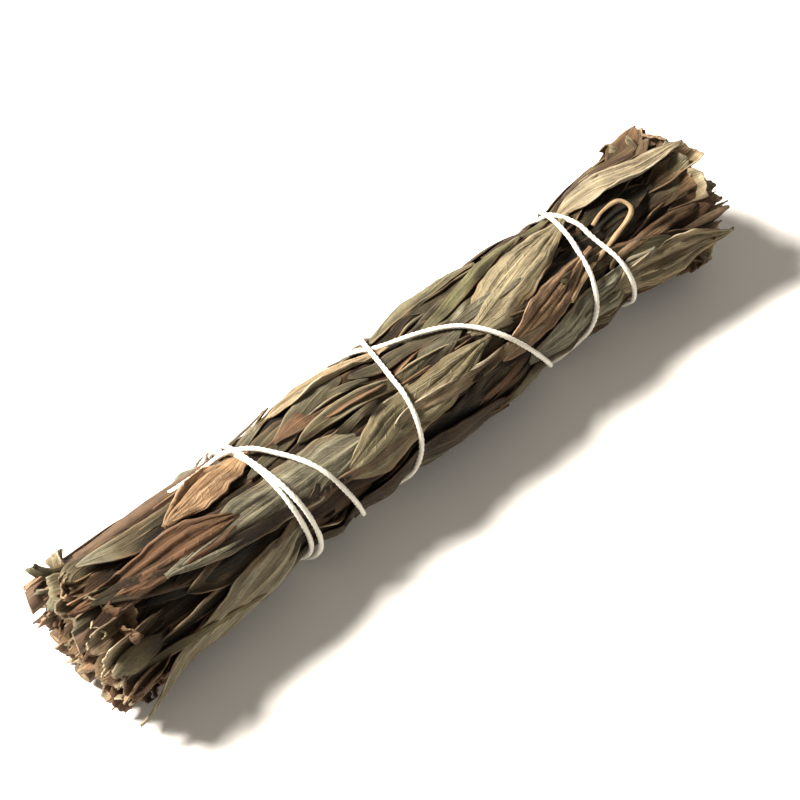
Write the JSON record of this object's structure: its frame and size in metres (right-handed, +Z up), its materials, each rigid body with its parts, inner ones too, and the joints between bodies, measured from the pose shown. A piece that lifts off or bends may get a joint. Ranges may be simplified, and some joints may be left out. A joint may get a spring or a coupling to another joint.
{
  "type": "sage smudge stick",
  "caption": "Dried leafy herb sprigs pressed into a rough roll with ragged cut ends, lying on its side and bound with a criss-cross cotton thread knotted on one side.",
  "frame": {"origin": "on the table under the middle of the bundle (centre of the box's base)", "axes": "+X along the bundle from its butt to its tip, +Z up"},
  "size_m": [0.1202, 0.0251, 0.022],
  "materials": {
    "leaf_olive": "dry crumpled leaf, matte, felted underside",
    "leaf_dark": "dry crumpled leaf, matte, felted underside",
    "leaf_straw": "dry crumpled leaf, matte, felted underside",
    "leaf_caramel": "dry crumpled leaf, matte, felted underside",
    "leaf_russet": "dry crumpled leaf, matte, felted underside",
    "stem": "dry bark, matte",
    "cotton": "twisted cotton thread, matte"
  },
  "bodies": {
    "root": {"leaves_heart": "leaf_russet", "stem_heart": "stem", "leaves_ring_1": "leaf_olive", "stem_ring_1": "stem", "leaves_ring_2": "leaf_olive", "stem_ring_2": "stem", "leaves_ring_3": "leaf_russet", "stem_ring_3": "stem", "leaves_ring_4": "leaf_olive", "stem_ring_4": "stem", "leaves_ring_5": "leaf_dark", "stem_ring_5": "stem", "leaves_ring_6": "leaf_olive", "stem_ring_6": "stem", "leaves_ring_7": "leaf_dark", "stem_ring_7": "stem", "wrap_olive_point": "leaf_olive", "wrap_olive_butt": "leaf_olive", "wrap_caramel": "leaf_caramel", "wrap_russet_butt": "leaf_russet", "wrap_straw_ridge": "leaf_straw", "wrap_olive_middle": "leaf_olive", "wrap_dark_side": "leaf_dark", "wrap_yellow_top": "leaf_straw", "wrap_brown_fold": "leaf_russet", "wrap_olive_side": "leaf_olive", "wrap_pale_tip": "leaf_straw", "wrap_tan_tip": "leaf_caramel", "wrap_back_butt": "leaf_olive", "wrap_back_middle": "leaf_russet", "wrap_back_tip": "leaf_dark", "wrap_back_ridge": "leaf_olive", "curled_stalk": "stem", "binding_thread": "cotton"}
  },
  "joints": []
}
